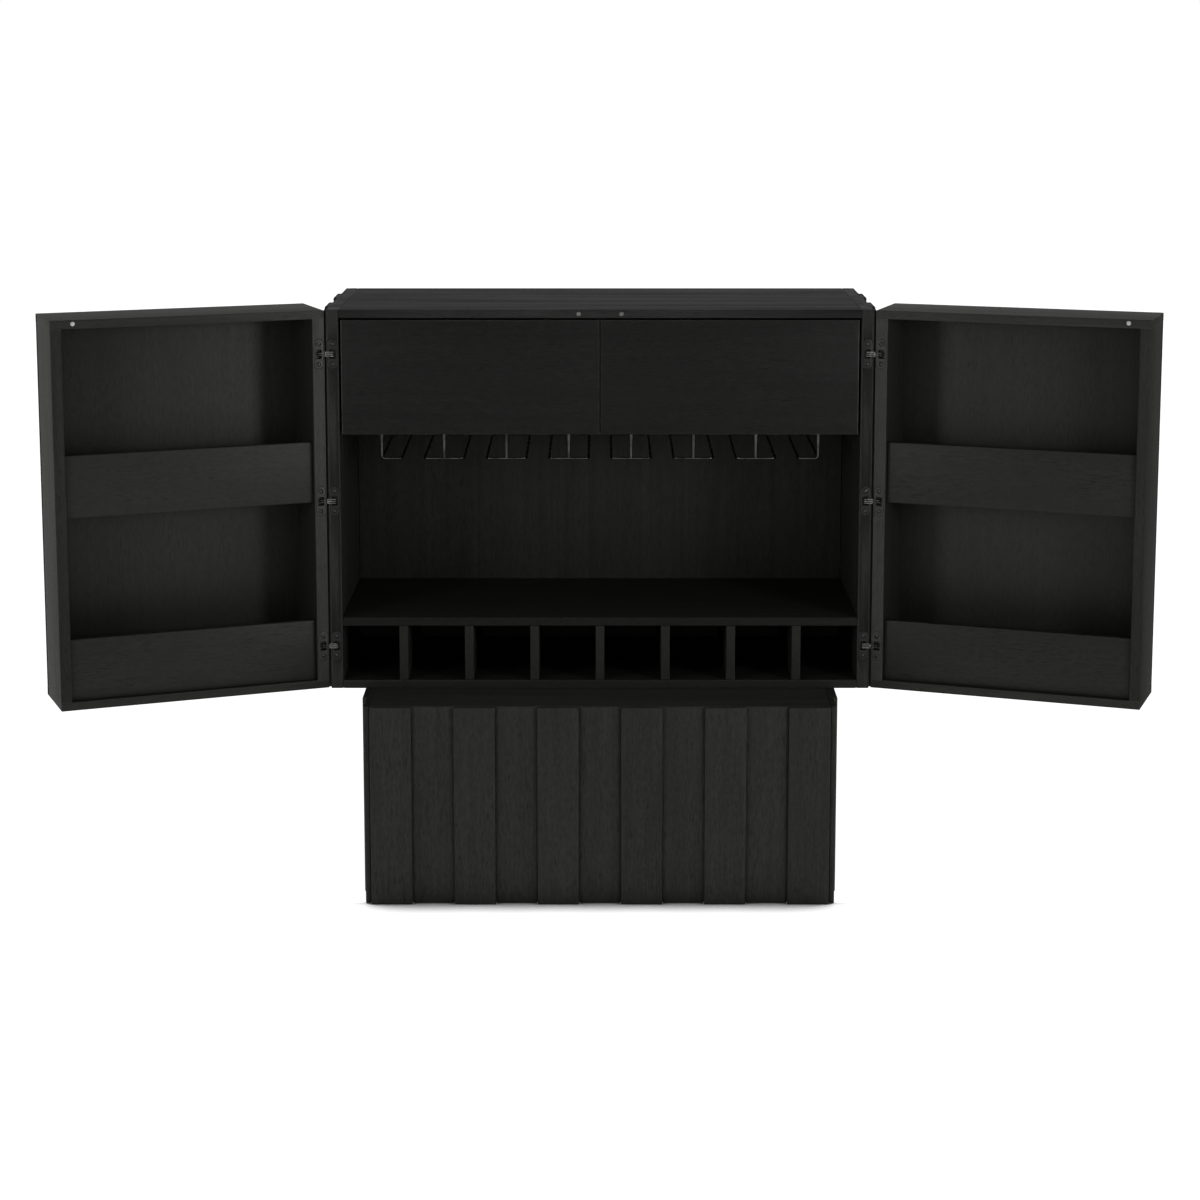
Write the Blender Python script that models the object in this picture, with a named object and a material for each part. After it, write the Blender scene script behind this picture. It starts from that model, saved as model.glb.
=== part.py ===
# Bar cabinet of black-stained wood: a case with two deep box doors, on a plinth clad in staves.
# Metres, +Z up, front faces -Y. The origin is the middle of the plinth's footprint, on the floor.
# The doors are built shut and stand open on their axes; the drawers are shut.
import math

import bmesh
import bpy
from mathutils import Vector

for leftover in list(bpy.data.objects):
    bpy.data.objects.remove(leftover, do_unlink=True)

# Gaps and edges shared by all pieces
seat_gap = 0.0003
edge_ease = 0.001
cut_overrun = 0.002

# Plinth
plinth_height = 0.370
plinth_depth = 0.559
plinth_side_inset = 0.071
front_stave_count = 11
side_stave_count = 6
corner_band = 0.0695
rear_band = 0.0254
stave_relief = 0.0075
plinth_level_thickness = 0.0104
plinth_core_thickness = 0.012
plinth_board = 0.018
plinth_joint_depth = 0.011

# Case
case_width = 1.000
case_height = 0.7075
case_setback = 0.147
case_side_thickness = 0.0225
case_board = 0.0155
case_front_band = 0.052
case_stave_width = 0.084
case_stave_count = 3
case_stave_relief = 0.007
back_recess = 0.030
back_thickness = 0.016

# Shelf and bottle cubbies
shelf_top_height = 0.1342
cubby_count = 8
divider_thickness = 0.0165

# Drawers
drawer_front_height = 0.2111
drawer_front_thickness = 0.018
drawer_top_gap = 0.0033
drawer_side_gap = 0.0042
drawer_centre_gap = 0.0014
drawer_box_clearance = 0.003
drawer_box_height = 0.150
drawer_wall = 0.012
drawer_bottom_thickness = 0.006
drawer_floor_thickness = 0.0155
partition_thickness = 0.016
runner_width = 0.045
runner_height = 0.0127
runner_wall = 0.0015
runner_side_height = 0.006
runner_ball_gap = 0.0003
case_rail_tail = 0.020
runner_back_clearance = 0.0277

# Stemware rack
wire_radius = 0.0019
rail_count = 8
rail_width = 0.0728
rail_drop = 0.0490
rail_bend = 0.008
rack_setback = 0.030
rack_back_clearance = 0.051
rack_end_clearance = 0.0465
rack_strip_tail = 0.02815
rack_strip_width = 0.014
rack_strip_thickness = 0.0025

# Doors
door_gap = 0.003
door_centre_gap = 0.003
door_bottom_gap = 0.0015
door_top_gap = 0.0010
door_depth = 0.140
door_skin = 0.008
door_stave_relief = 0.007
door_stave_count = 6
door_rail_thickness = 0.0150
closing_stile_thickness = 0.0200
bin_front_thickness = 0.012
bin_floor_thickness = 0.010
bin_front_height = 0.113
bin_setback = 0.010
upper_bin_height = 0.3507
left_door_angle = 158.46
right_door_angle = 160.07

# Concealed hinges: a cup let into each rim, and links that cross the gap to the axis
pivot_offset = 0.0012
hinge_end_distance = 0.0812
cup_width = 0.018
cup_height = 0.055
cup_depth = 0.014
cup_clearance = 0.0003
pocket_width = 0.0095
pocket_height = 0.0165
pocket_depth = 0.010
link_thickness = 0.0024
link_height = 0.0018
link_spacing = 0.0021
link_width = 0.0040
link_count = 7

# Where the main faces lie
plinth_front_width = case_width - 2 * (plinth_side_inset + plinth_level_thickness)
side_stave_width = (plinth_depth - stave_relief - corner_band - rear_band) / side_stave_count
plinth_front_y = -plinth_depth / 2
plinth_level_y = plinth_front_y + stave_relief
plinth_back_y = plinth_depth / 2
case_front_y = plinth_front_y + case_setback
case_depth = plinth_depth - case_setback
case_rear_band = case_depth - case_front_band - case_stave_count * case_stave_width
case_bottom_z = plinth_height + seat_gap
case_top_z = case_bottom_z + case_height
case_inner_half = case_width / 2 - case_side_thickness
inner_back_y = case_front_y + case_depth - back_recess - back_thickness
case_floor_z = case_bottom_z + case_board
case_ceiling_z = case_top_z - case_board
shelf_top_z = case_bottom_z + shelf_top_height
shelf_bottom_z = shelf_top_z - case_board
drawer_front_top_z = case_ceiling_z - drawer_top_gap
drawer_front_bottom_z = drawer_front_top_z - drawer_front_height
drawer_front_inner_y = case_front_y + drawer_front_thickness
drawer_box_y = drawer_front_inner_y + seat_gap
drawer_box_length = inner_back_y - runner_back_clearance - case_rail_tail - drawer_box_y
drawer_floor_bottom_z = drawer_front_bottom_z
drawer_floor_top_z = drawer_floor_bottom_z + drawer_floor_thickness
rack_front_y = case_front_y + rack_setback
rack_back_y = inner_back_y - rack_back_clearance
rack_strip_length = 2 * (case_inner_half - rack_end_clearance)
rail_pitch = (rack_strip_length - 2 * rack_strip_tail) / (rail_count - 1)
door_width = (case_width - door_centre_gap) / 2
door_bottom_z = case_bottom_z + door_bottom_gap
door_top_z = case_top_z - door_top_gap
pivot_y = case_front_y - door_gap / 2
pivot_x = case_width / 2 + pivot_offset
hinge_heights = (
    case_bottom_z + hinge_end_distance,
    (case_bottom_z + case_top_z) / 2,
    case_top_z - hinge_end_distance,
)


def make_material(name, colour, roughness, metallic):
    material = bpy.data.materials.new(name)
    material.use_nodes = True
    shader = material.node_tree.nodes["Principled BSDF"]
    shader.inputs["Base Color"].default_value = (*colour, 1.0)
    shader.inputs["Roughness"].default_value = roughness
    shader.inputs["Metallic"].default_value = metallic
    return material


black_wood = make_material("black_wood", (0.024, 0.024, 0.022), 0.55, 0.0)
drawer_wood = make_material("drawer_wood", (0.090, 0.070, 0.050), 0.60, 0.0)
dark_metal = make_material("dark_metal", (0.060, 0.060, 0.060), 0.35, 1.0)
steel = make_material("steel", (0.550, 0.540, 0.520), 0.30, 1.0)


def add_object(name, mesh, material, parent=None, location=(0, 0, 0)):
    piece = bpy.data.objects.new(name, mesh)
    piece.location = location
    piece.parent = parent
    mesh.materials.append(material)
    bpy.context.scene.collection.objects.link(piece)
    return piece


def finish_mesh(bm, name):
    bmesh.ops.recalc_face_normals(bm, faces=bm.faces)
    mesh = bpy.data.meshes.new(name)
    bm.to_mesh(mesh)
    bm.free()
    return mesh


def prism_mesh(name, outline, depth):
    """An outline of (x, y, z) points pushed along a vector."""
    bm = bmesh.new()
    face = bm.faces.new([bm.verts.new(point) for point in outline])
    pushed = bmesh.ops.extrude_face_region(bm, geom=[face])
    moved = [part for part in pushed["geom"] if isinstance(part, bmesh.types.BMVert)]
    bmesh.ops.translate(bm, verts=moved, vec=depth)
    return finish_mesh(bm, name)


def box_mesh(name, size):
    bm = bmesh.new()
    bmesh.ops.create_cube(bm, size=1)
    bmesh.ops.scale(bm, vec=size, verts=bm.verts)
    return finish_mesh(bm, name)


def rod_mesh(name, radius, length, sides):
    """A rod standing on its lower end."""
    bm = bmesh.new()
    bmesh.ops.create_cone(bm, cap_ends=True, segments=sides, radius1=radius, radius2=radius,
                          depth=length)
    bmesh.ops.translate(bm, verts=bm.verts, vec=(0, 0, length / 2))
    return finish_mesh(bm, name)


def tube_loop_mesh(name, points, radius):
    """A round wire that runs through the points and closes on itself."""
    curve = bpy.data.curves.new(name, "CURVE")
    curve.dimensions = "3D"
    curve.bevel_depth = radius
    curve.bevel_resolution = 2
    spline = curve.splines.new("POLY")
    spline.points.add(len(points) - 1)
    for knot, point in zip(spline.points, points):
        knot.co = (*point, 1)
    spline.use_cyclic_u = True
    holder = bpy.data.objects.new(name, curve)
    bpy.context.scene.collection.objects.link(holder)
    depsgraph = bpy.context.evaluated_depsgraph_get()
    mesh = bpy.data.meshes.new_from_object(holder.evaluated_get(depsgraph))
    bpy.data.objects.remove(holder, do_unlink=True)
    bm = bmesh.new()
    bm.from_mesh(mesh)
    bmesh.ops.remove_doubles(bm, verts=bm.verts, dist=radius / 100)
    return finish_mesh(bm, name)


def ease_edges(piece, width=edge_ease):
    bevel = piece.modifiers.new("eased_edges", "BEVEL")
    bevel.width = width
    bevel.segments = 1
    bevel.limit_method = "ANGLE"
    bevel.angle_limit = math.radians(40)


def hide_tool(tool):
    tool.hide_render = True
    tool.display_type = "WIRE"


def cut_away(piece, cutter):
    hide_tool(cutter)
    boolean = piece.modifiers.new("cut", "BOOLEAN")
    boolean.operation = "DIFFERENCE"
    boolean.solver = "EXACT"
    boolean.object = cutter


def join_on(piece, additions):
    """Welds the other shapes to a piece, so that they form one body."""
    group = bpy.data.collections.new(piece.name + "_additions")
    for addition in additions:
        hide_tool(addition)
        group.objects.link(addition)
    boolean = piece.modifiers.new("joined", "BOOLEAN")
    boolean.operation = "UNION"
    boolean.solver = "EXACT"
    boolean.use_self = True
    boolean.operand_type = "COLLECTION"
    boolean.collection = group


def board(name, low, high, material=black_wood, parent=None):
    """A board with eased edges between two opposite corners."""
    low, high = Vector(map(min, low, high)), Vector(map(max, low, high))
    piece = add_object(name, box_mesh(name, high - low), material, parent, (low + high) / 2)
    ease_edges(piece)
    return piece


def box_tool(name, low, high, parent=None):
    low, high = Vector(map(min, low, high)), Vector(map(max, low, high))
    return add_object(name, box_mesh(name, high - low), black_wood, parent, (low + high) / 2)


def stave_panel(name, corner, along, outward, staves, thickness, relief, low_z, high_z, parent=None):
    """A panel of upright staves, each level or raised. The corner is where the inner face starts."""
    corner, along, outward = Vector(corner), Vector(along), Vector(outward)
    reach = [0.0]
    for width, raised in staves:
        reach.append(reach[-1] + width)
    outline = [(reach[0], 0.0)]
    for start, end, (width, raised) in zip(reach, reach[1:], staves):
        out = thickness + relief if raised else thickness
        outline += [(start, out), (end, out)]
    outline.append((reach[-1], 0.0))
    points = [corner + along * run + outward * out + Vector((0, 0, low_z)) for run, out in outline]
    piece = add_object(name, prism_mesh(name, points, (0, 0, high_z - low_z)), black_wood, parent)
    ease_edges(piece)
    return piece


def alternate(width, count, first_raised):
    return [(width, (number % 2 == 0) == first_raised) for number in range(count)]


def build_plinth():
    half_front = plinth_front_width / 2
    core_y = plinth_front_y + plinth_joint_depth
    core_inner_y = core_y + plinth_core_thickness
    top_low_z = plinth_height - plinth_board
    front = stave_panel(
        "plinth_front", (-half_front + seat_gap, core_inner_y, 0), (1, 0, 0), (0, -1, 0),
        alternate((plinth_front_width - 2 * seat_gap) / front_stave_count, front_stave_count, True),
        core_inner_y - plinth_level_y, stave_relief, 0, plinth_height)
    rebate = box_tool(
        "plinth_front_rebate",
        (-half_front - cut_overrun, core_y, top_low_z - seat_gap),
        (half_front + cut_overrun, core_inner_y + cut_overrun, plinth_height + cut_overrun))
    cut_away(front, rebate)
    for side, name in ((-1, "plinth_left_side"), (1, "plinth_right_side")):
        stave_panel(
            name, (side * half_front, plinth_level_y, 0), (0, 1, 0), (side, 0, 0),
            [(corner_band, False), *alternate(side_stave_width, side_stave_count, True), (rear_band, True)],
            plinth_level_thickness, stave_relief, 0, plinth_height)
    inner_half = half_front - seat_gap
    back_inner_y = plinth_back_y - plinth_board
    board("plinth_back", (-inner_half, back_inner_y, 0),
          (inner_half, plinth_back_y, top_low_z - seat_gap))
    board("plinth_top", (-inner_half, core_y + seat_gap, top_low_z),
          (inner_half, plinth_back_y, plinth_height))
    board("plinth_base", (-inner_half, core_inner_y + seat_gap, 0),
          (inner_half, back_inner_y - seat_gap, plinth_board))


def cup_outline(width, height, y):
    """A stadium in a plane of constant y, middle at the origin."""
    radius, steps = width / 2, 8
    centre = height / 2 - radius
    points = []
    for side in (1, -1):
        for step in range(steps + 1):
            turn = math.pi * step / steps
            points.append((side * radius * math.cos(turn), y, side * (centre + radius * math.sin(turn))))
    return points


def build_case():
    side_staves = [(case_front_band, False)] + alternate(case_stave_width, case_stave_count, True)
    side_staves.append((case_rear_band, False))
    for side, name in ((-1, "case_left_side"), (1, "case_right_side")):
        panel = stave_panel(
            name, (side * case_inner_half, case_front_y, 0), (0, 1, 0), (side, 0, 0),
            side_staves, case_side_thickness, case_stave_relief, case_bottom_z, case_top_z)
        for number, height in enumerate(hinge_heights):
            cutter = add_object(
                f"{name}_mortise_{number}",
                prism_mesh("mortise", cup_outline(cup_width + 2 * cup_clearance,
                                                  cup_height + 2 * cup_clearance, -cut_overrun),
                           (0, cup_depth + cup_clearance + cut_overrun, 0)),
                black_wood, None,
                (side * (case_width / 2 - case_side_thickness / 2), case_front_y, height))
            cut_away(panel, cutter)
    half = case_inner_half - seat_gap
    case_back_y = case_front_y + case_depth
    back_y = inner_back_y - seat_gap
    board("case_top", (-half, case_front_y, case_ceiling_z), (half, case_back_y, case_top_z))
    board("case_bottom", (-half, case_front_y, case_bottom_z), (half, case_back_y, case_floor_z))
    board("case_back", (-half, inner_back_y, case_floor_z + seat_gap),
          (half, inner_back_y + back_thickness, case_ceiling_z - seat_gap))
    board("bar_shelf", (-half, case_front_y, shelf_bottom_z), (half, back_y, shelf_top_z))
    pitch = (2 * case_inner_half + divider_thickness) / cubby_count
    for number in range(1, cubby_count):
        middle = (number - cubby_count / 2) * pitch
        board(
            f"bottle_divider_{number}",
            (middle - divider_thickness / 2, case_front_y, case_floor_z + seat_gap),
            (middle + divider_thickness / 2, back_y, shelf_bottom_z - seat_gap))
    board("drawer_floor", (-half, drawer_front_inner_y + seat_gap, drawer_floor_bottom_z),
          (half, back_y, drawer_floor_top_z))
    board(
        "drawer_partition",
        (-partition_thickness / 2, drawer_front_inner_y + seat_gap, drawer_floor_top_z + seat_gap),
        (partition_thickness / 2, back_y, case_ceiling_z - seat_gap))


def build_drawer(side, name):
    inner_x = drawer_centre_gap / 2
    outer_x = case_inner_half - drawer_side_gap
    board(f"{name}_front", (side * inner_x, case_front_y, drawer_front_bottom_z),
          (side * outer_x, drawer_front_inner_y, drawer_front_top_z))
    box_y = drawer_box_y
    box_back_y = box_y + drawer_box_length
    box_inner_x = partition_thickness / 2 + drawer_box_clearance
    runner_low_z = drawer_floor_top_z + seat_gap
    bottom_z = runner_low_z + runner_height + seat_gap
    outline = [
        (box_inner_x, box_y), (box_inner_x, box_back_y), (outer_x, box_back_y), (outer_x, box_y),
        (outer_x - drawer_wall, box_y), (outer_x - drawer_wall, box_back_y - drawer_wall),
        (box_inner_x + drawer_wall, box_back_y - drawer_wall), (box_inner_x + drawer_wall, box_y),
    ]
    walls = add_object(
        f"{name}_box",
        prism_mesh(f"{name}_box", [(side * x, y, bottom_z) for x, y in outline],
                   (0, 0, drawer_box_height)),
        drawer_wood)
    ease_edges(walls)
    board(
        f"{name}_bottom",
        (side * (box_inner_x + drawer_wall + seat_gap), box_y, bottom_z),
        (side * (outer_x - drawer_wall - seat_gap), box_back_y - drawer_wall - seat_gap,
         bottom_z + drawer_bottom_thickness), drawer_wood)
    build_runner(name, side * (box_inner_x + outer_x) / 2, box_y, runner_low_z)


def channel_mesh(name, base_z, upward, length):
    """A channel that runs back from y = 0, with its web at the base height. Its sides turn up or down."""
    half, inner = runner_width / 2, runner_width / 2 - runner_wall
    web_z, end_z = base_z + upward * runner_wall, base_z + upward * runner_side_height
    outline = [(-half, 0, base_z), (half, 0, base_z), (half, 0, end_z), (inner, 0, end_z),
               (inner, 0, web_z), (-inner, 0, web_z), (-inner, 0, end_z), (-half, 0, end_z)]
    return prism_mesh(name, outline, (0, length, 0))


def build_runner(name, middle_x, front_y, low_z):
    """A telescopic runner: one channel on the case, one on the drawer, and a rail that slides in both."""
    place = (middle_x, front_y, low_z)
    add_object(f"{name}_case_rail",
               channel_mesh(f"{name}_case_rail", 0, 1, drawer_box_length + case_rail_tail),
               steel, None, place)
    add_object(f"{name}_drawer_rail",
               channel_mesh(f"{name}_drawer_rail", runner_height, -1, drawer_box_length),
               steel, None, place)
    half = runner_width / 2 - runner_wall - runner_ball_gap
    rail_low_z = runner_wall + runner_ball_gap
    board(f"{name}_middle_rail", (middle_x - half, front_y, low_z + rail_low_z),
          (middle_x + half, front_y + drawer_box_length, low_z + runner_height - rail_low_z), steel)


def rail_loop(low_x, high_x, front_y, back_y, height):
    """Points round a rectangle with rounded corners."""
    points = []
    corners = ((high_x, back_y, 0), (low_x, back_y, 90), (low_x, front_y, 180), (high_x, front_y, 270))
    for corner_x, corner_y, start in corners:
        inward_x = -rail_bend if corner_x == high_x else rail_bend
        inward_y = -rail_bend if corner_y == back_y else rail_bend
        for turn in (start, start + 45, start + 90):
            points.append((corner_x + inward_x + rail_bend * math.cos(math.radians(turn)),
                           corner_y + inward_y + rail_bend * math.sin(math.radians(turn)), height))
    return points


def build_rack():
    strip_low_z = drawer_floor_bottom_z - seat_gap - rack_strip_thickness
    wire_z = drawer_floor_bottom_z - rail_drop
    front_y, back_y = rack_front_y, rack_back_y
    strip_size = Vector((rack_strip_length, rack_strip_width, rack_strip_thickness))
    strip_z = strip_low_z + rack_strip_thickness / 2
    rack = add_object("stemware_rack", box_mesh("stemware_rack", strip_size), dark_metal, None,
                      (0, front_y, strip_z))
    parts = [add_object("rack_back_strip", box_mesh("rack_back_strip", strip_size), dark_metal, None,
                        (0, back_y, strip_z))]
    for number in range(rail_count):
        middle = (number - (rail_count - 1) / 2) * rail_pitch
        low_x, high_x = middle - rail_width / 2, middle + rail_width / 2
        if number == 0:
            low_x = middle
        if number == rail_count - 1:
            high_x = middle
        loop = tube_loop_mesh("rail_loop", rail_loop(low_x, high_x, front_y, back_y, wire_z), wire_radius)
        parts.append(add_object(f"rail_loop_{number}", loop, dark_metal))
        hanger_x = min(max(middle, low_x + rail_bend + wire_radius), high_x - rail_bend - wire_radius)
        for end, y in (("front", front_y), ("back", back_y)):
            hanger = rod_mesh("hanger", wire_radius, strip_z - wire_z, 8)
            place = (hanger_x, y, wire_z)
            parts.append(add_object(f"hanger_{end}_{number}", hanger, dark_metal, None, place))
    join_on(rack, parts)


def door_axis(side, name, angle):
    """An empty on the door's hinge axis, turned by the angle that the door stands open."""
    axis = bpy.data.objects.new(name, None)
    axis.location = (side * pivot_x, pivot_y, 0)
    axis.rotation_euler = (0, 0, side * math.radians(angle))
    bpy.context.scene.collection.objects.link(axis)
    return axis


def build_door(side, name, angle):
    """A deep box door, built shut. Its places run from the axis: x towards the middle, y to the front."""
    axis = door_axis(side, f"{name}_axis", angle)
    rim_y = -door_gap / 2
    skin_y = rim_y - door_depth + door_skin + door_stave_relief

    def place(u, y, z):
        return (-side * (pivot_offset + u), y, z)

    low_z = door_bottom_z + door_rail_thickness
    high_z = door_top_z - door_rail_thickness
    back_y = rim_y - door_depth
    board(f"{name}_bottom_rail", place(0, rim_y, door_bottom_z), place(door_width, back_y, low_z),
          parent=axis)
    board(f"{name}_top_rail", place(0, rim_y, high_z), place(door_width, back_y, door_top_z),
          parent=axis)
    low_z, high_z = low_z + seat_gap, high_z - seat_gap
    stile_back_y = skin_y + seat_gap
    stile = board(f"{name}_hinge_stile", place(0, rim_y, low_z),
                  place(case_side_thickness, stile_back_y, high_z), parent=axis)
    for number, height in enumerate(hinge_heights):
        x, _, _ = place(case_side_thickness / 2, 0, 0)
        cutter = add_object(
            f"{name}_mortise_{number}",
            prism_mesh("mortise", cup_outline(cup_width + 2 * cup_clearance,
                                              cup_height + 2 * cup_clearance, cut_overrun),
                       (0, -cup_depth - cup_clearance - cut_overrun, 0)),
            black_wood, axis, (x, rim_y, height))
        cut_away(stile, cutter)
    free_u = door_width - closing_stile_thickness
    board(f"{name}_closing_stile", place(free_u, rim_y, low_z), place(door_width, stile_back_y, high_z),
          parent=axis)
    stave_panel(
        f"{name}_panel", place(0, skin_y, 0), (-side, 0, 0), (0, -1, 0),
        alternate(door_width / door_stave_count, door_stave_count, False),
        door_skin, door_stave_relief, low_z, high_z, axis)
    bin_low_u, bin_high_u = case_side_thickness + seat_gap, free_u - seat_gap
    front_y = rim_y - bin_setback
    inner_y = front_y - bin_front_thickness
    floor_z = case_bottom_z + upper_bin_height
    outline = [
        (front_y, floor_z), (front_y, floor_z + bin_front_height), (inner_y, floor_z + bin_front_height),
        (inner_y, floor_z + bin_floor_thickness), (stile_back_y, floor_z + bin_floor_thickness),
        (stile_back_y, floor_z),
    ]
    tray = add_object(
        f"{name}_upper_bin",
        prism_mesh(f"{name}_upper_bin", [place(bin_low_u, y, z) for y, z in outline],
                   (-side * (bin_high_u - bin_low_u), 0, 0)),
        black_wood, axis)
    ease_edges(tray)
    board(f"{name}_lower_bin_front", place(bin_low_u, front_y, low_z),
          place(bin_high_u, inner_y, low_z + bin_front_height), parent=axis)
    return axis


def build_hinge_half(name, side, facing, height, first_link, parent):
    """One cup with its links, let into a rim. It points into the wood: facing is +1 on the case, -1 on the
    door. The links cross the gap and end at the hinge axis."""
    centre_x = -side * (pivot_offset + case_side_thickness / 2)
    face_y = facing * door_gap / 2
    origin = parent.matrix_basis.translation if parent and facing > 0 else Vector((0, 0, 0))
    cup = add_object(
        name,
        prism_mesh(name, cup_outline(cup_width, cup_height, 0), (0, facing * cup_depth, 0)),
        steel, None if facing > 0 else parent, origin + Vector((centre_x, face_y, height)))
    pocket = box_tool(
        name + "_pocket", (-pocket_width / 2, -facing * cut_overrun, -pocket_height / 2),
        (pocket_width / 2, facing * pocket_depth, pocket_height / 2), cup)
    cut_away(cup, pocket)
    half = link_thickness / 2
    knuckle_x = -centre_x
    outward = math.copysign(1, knuckle_x)
    root_near, root_far = outward * link_width / 2, -outward * link_width / 2
    root_y = facing * (pocket_depth + cut_overrun)
    near_y, far_y = -face_y + facing * half, -face_y - facing * half
    outline = [(root_far, root_y), (root_near, root_y), (root_near, near_y), (knuckle_x, near_y)]
    for step in range(1, 4):
        turn = math.pi * step / 4
        outline.append((knuckle_x + outward * half * math.sin(turn),
                        -face_y + facing * half * math.cos(turn)))
    outline += [(knuckle_x, far_y), (root_far, far_y)]
    links = []
    for number in range(first_link, link_count, 2):
        z = (number - (link_count - 1) / 2) * link_spacing - link_height / 2
        links.append(add_object(
            f"{name}_link_{number}",
            prism_mesh("link", [(x, y, z) for x, y in outline], (0, 0, link_height)),
            steel, cup))
    join_on(cup, links)


def build_hinges(side, name, axis):
    for label, height in zip(("lower", "middle", "upper"), hinge_heights):
        build_hinge_half(f"{name}_{label}_hinge_case_half", side, 1, height, 0, axis)
        build_hinge_half(f"{name}_{label}_hinge_door_half", side, -1, height, 1, axis)


build_plinth()
build_case()
build_drawer(-1, "left_drawer")
build_drawer(1, "right_drawer")
build_rack()
left_axis = build_door(-1, "left_door", left_door_angle)
right_axis = build_door(1, "right_door", right_door_angle)
build_hinges(-1, "left", left_axis)
build_hinges(1, "right", right_axis)
bpy.context.view_layer.update()
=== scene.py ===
import math
import random

import bmesh
import bpy
from mathutils import Matrix, Vector


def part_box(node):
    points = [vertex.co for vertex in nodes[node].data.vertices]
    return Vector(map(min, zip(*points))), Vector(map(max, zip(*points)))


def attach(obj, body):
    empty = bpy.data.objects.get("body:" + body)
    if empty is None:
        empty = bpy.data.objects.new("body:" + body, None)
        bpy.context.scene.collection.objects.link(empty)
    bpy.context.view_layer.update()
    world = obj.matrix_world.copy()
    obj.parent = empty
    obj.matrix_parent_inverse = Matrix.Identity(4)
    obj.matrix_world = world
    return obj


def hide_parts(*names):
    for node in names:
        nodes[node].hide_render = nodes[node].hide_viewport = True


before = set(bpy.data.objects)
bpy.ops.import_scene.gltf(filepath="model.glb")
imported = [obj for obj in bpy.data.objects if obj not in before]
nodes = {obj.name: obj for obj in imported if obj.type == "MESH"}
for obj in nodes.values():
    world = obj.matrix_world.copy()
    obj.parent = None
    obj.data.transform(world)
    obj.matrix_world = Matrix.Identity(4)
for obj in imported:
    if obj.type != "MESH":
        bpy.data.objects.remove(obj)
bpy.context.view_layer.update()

scene = bpy.context.scene
print("frame loaded,", len(nodes), "solids")

# camera first, at the photograph's viewing angle

cameraLook = {
    "place": (0, -5.0792, 1.5909),
    "tilt": 81.015,
    "lens": 81.79,
    "shift": -0.1203,
}

cameraData = bpy.data.cameras.new("camera")
cameraData.lens = cameraLook["lens"]
cameraData.sensor_width = 36
cameraData.shift_y = cameraLook["shift"]
camera = bpy.data.objects.new("camera", cameraData)
camera.location = cameraLook["place"]
camera.rotation_euler = (math.radians(cameraLook["tilt"]), 0, 0)
scene.collection.objects.link(camera)
scene.camera = camera
scene.view_settings.view_transform = "Standard"
print("camera placed")


# materials

def addNode(tree, kind, **settings):
    node = tree.nodes.new(kind)
    for key, value in settings.items():
        setattr(node, key, value)
    return node


def feed(tree, slot, value):
    if isinstance(value, bpy.types.NodeSocket):
        tree.links.new(value, slot)
    else:
        slot.default_value = value


def calc(tree, operation, first, second=0.0):
    node = addNode(tree, "ShaderNodeMath", operation=operation)
    feed(tree, node.inputs[0], first)
    feed(tree, node.inputs[1], second)
    return node.outputs[0]


def spread(tree, value, low, high, outLow=0.0, outHigh=1.0):
    node = addNode(tree, "ShaderNodeMapRange")
    feed(tree, node.inputs["Value"], value)
    for slot, number in (("From Min", low), ("From Max", high), ("To Min", outLow), ("To Max", outHigh)):
        node.inputs[slot].default_value = number
    return node.outputs["Result"]


def blendColours(tree, share, first, second):
    node = addNode(tree, "ShaderNodeMix", data_type="RGBA")
    feed(tree, node.inputs[0], share)
    feed(tree, node.inputs[6], first)
    feed(tree, node.inputs[7], second)
    return node.outputs[2]


def grainNoise(tree, points, turn, length, width, detail=2.0, roughness=0.5):
    # one patch is so long and so wide, in metres, with the grain along the turned x
    mapping = addNode(tree, "ShaderNodeMapping", vector_type="TEXTURE")
    tree.links.new(points, mapping.inputs["Vector"])
    mapping.inputs["Rotation"].default_value = turn
    mapping.inputs["Scale"].default_value = (length, width, width)
    noise = addNode(tree, "ShaderNodeTexNoise")
    tree.links.new(mapping.outputs["Vector"], noise.inputs["Vector"])
    noise.inputs["Scale"].default_value = 1.0
    noise.inputs["Detail"].default_value = detail
    noise.inputs["Roughness"].default_value = roughness
    return noise.outputs["Fac"]


def objectPoints(tree):
    return addNode(tree, "ShaderNodeTexCoord").outputs["Object"]


def addBump(tree, shader, height, strength, distance):
    bump = addNode(tree, "ShaderNodeBump")
    bump.inputs["Strength"].default_value = strength
    bump.inputs["Distance"].default_value = distance
    tree.links.new(height, bump.inputs["Height"])
    tree.links.new(bump.outputs["Normal"], shader.inputs["Normal"])
    return bump


def newMaterial(name):
    material = bpy.data.materials.new(name)
    material.use_nodes = True
    return material, material.node_tree, material.node_tree.nodes["Principled BSDF"]


def grey(level, warmth=1.0):
    # a near-black from its level in the 0 to 255 scale, a little less blue than red
    linear = ((level / 255 + 0.055) / 1.055) ** 2.4 if level > 10.3 else level / 255 / 12.92
    return (linear, linear * (1 + 0.004 * warmth), linear * (1 - 0.09 * warmth), 1.0)


grainSizes = {
    "field": (1.5, 0.13),
    "streaks": 0.6,
    "fibres": (0.085, 0.0019),
    "patches": (0.45, 0.12),
    "pores": (0.017, 0.00105),
    "mottle": (0.011, 0.0042),
}
# how much each kind of mark counts in the stain's shade; the streaks and the mottle share the rest
grainShares = {"fibres": 0.22, "rings": 0.12, "patches": 0.14, "rest": 0.52}
stainLook = {
    "poreLevel": 8,
    "poreGloss": 0.6,
    # the lighter edges stand partly for rubbed wear and partly for a painted highlight on the arrises
    "rubHighlightLevel": 92,
    "rubHighlightRange": (0.985, 0.86),
    "dustRange": (0.55, 0.95),
    "dustRoughness": 0.12,
    "fibreHeight": 0.35,
    "bumpDepth": 0.00025,
}


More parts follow.
